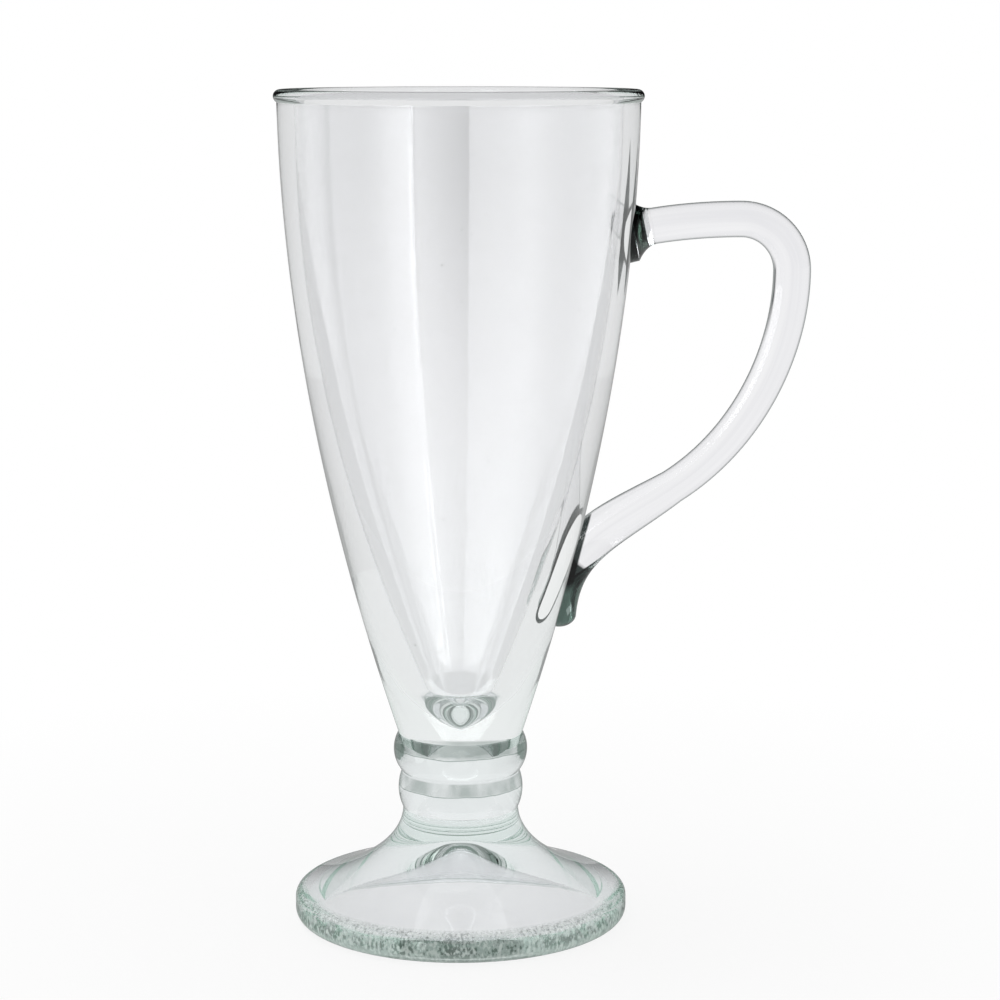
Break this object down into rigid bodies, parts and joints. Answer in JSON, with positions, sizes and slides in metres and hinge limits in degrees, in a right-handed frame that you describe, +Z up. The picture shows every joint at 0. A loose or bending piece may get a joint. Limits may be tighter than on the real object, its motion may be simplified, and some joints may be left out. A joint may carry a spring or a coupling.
{
  "type": "footed glass mug",
  "caption": "Tall clear glass mug with a flaring bowl, a ringed stem, a hollow round foot and a loop handle, for hot coffee and layered drinks.",
  "frame": {"origin": "on the mug's axis at the plane of the table it stands on", "axes": "+Z up along the mug's axis, +X from the axis towards the handle, +Y across the handle's plane"},
  "size_m": [0.1107, 0.076, 0.175],
  "materials": {
    "bowl_glass": "fire-polished clear soda-lime glass",
    "stem_glass": "fire-polished clear soda-lime glass, faintly green where it is thick",
    "foot_glass": "pressed clear soda-lime glass, faintly green at its thick edge",
    "handle_glass": "drawn clear soda-lime glass"
  },
  "bodies": {
    "root": {"bowl": "bowl_glass", "upper_ring": "stem_glass", "lower_ring": "stem_glass", "foot": "foot_glass", "handle": "handle_glass"}
  },
  "joints": []
}
